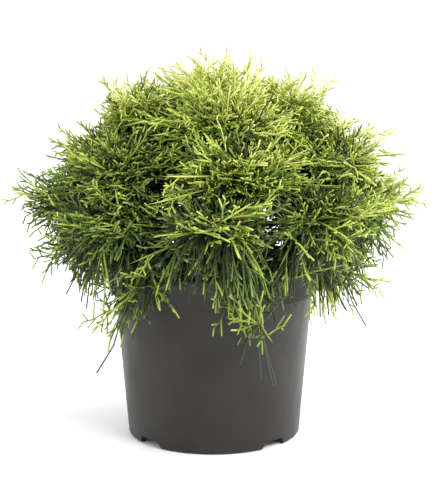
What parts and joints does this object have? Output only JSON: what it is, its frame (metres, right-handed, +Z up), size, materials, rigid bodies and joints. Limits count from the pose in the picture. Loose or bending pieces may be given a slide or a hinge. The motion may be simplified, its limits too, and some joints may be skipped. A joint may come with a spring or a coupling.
{
  "type": "potted threadleaf sawara cypress",
  "caption": "Low mop-shaped conifer whose thread-like golden green shoots hang over the rim of a round dark grey nursery pot filled with growing medium.",
  "frame": {"origin": "on the ground under the middle of the pot, which is also under the middle of the crown", "axes": "+Z up; -Y towards the viewer of the picture; +X to that viewer's right"},
  "size_m": [0.4299, 0.43, 0.389],
  "materials": {
    "pot_plastic": "satin moulded",
    "growing_medium": "crumbly, matte",
    "bark": "rough, matte",
    "shoots": "satin"
  },
  "bodies": {
    "root": {"bough_high_1": "bark", "bough_high_2": "bark", "bough_high_3": "bark", "bough_high_4": "bark", "bough_low_1": "bark", "bough_low_2": "bark", "bough_low_3": "bark", "bough_low_4": "bark", "bough_low_5": "bark", "bough_low_6": "bark", "bough_low_7": "bark", "bough_low_8": "bark", "bough_middle_1": "bark", "bough_middle_2": "bark", "bough_middle_3": "bark", "bough_middle_4": "bark", "bough_middle_5": "bark", "bough_middle_6": "bark", "bough_skirt_1": "bark", "bough_skirt_2": "bark", "bough_skirt_3": "bark", "bough_skirt_4": "bark", "bough_skirt_5": "bark", "bough_skirt_6": "bark", "bough_skirt_7": "bark", "foliage_high_1": "shoots", "foliage_high_2": "shoots", "foliage_high_3": "shoots", "foliage_high_4": "shoots", "foliage_low_1": "shoots", "foliage_low_2": "shoots", "foliage_low_3": "shoots", "foliage_low_4": "shoots", "foliage_low_5": "shoots", "foliage_low_6": "shoots", "foliage_low_7": "shoots", "foliage_low_8": "shoots", "foliage_middle_1": "shoots", "foliage_middle_2": "shoots", "foliage_middle_3": "shoots", "foliage_middle_4": "shoots", "foliage_middle_5": "shoots", "foliage_middle_6": "shoots", "foliage_skirt_1": "shoots", "foliage_skirt_2": "shoots", "foliage_skirt_3": "shoots", "foliage_skirt_4": "shoots", "foliage_skirt_5": "shoots", "foliage_skirt_6": "shoots", "foliage_skirt_7": "shoots", "foliage_top": "shoots", "growing_medium": "growing_medium", "pot": "pot_plastic", "trunk": "bark"}
  },
  "joints": []
}
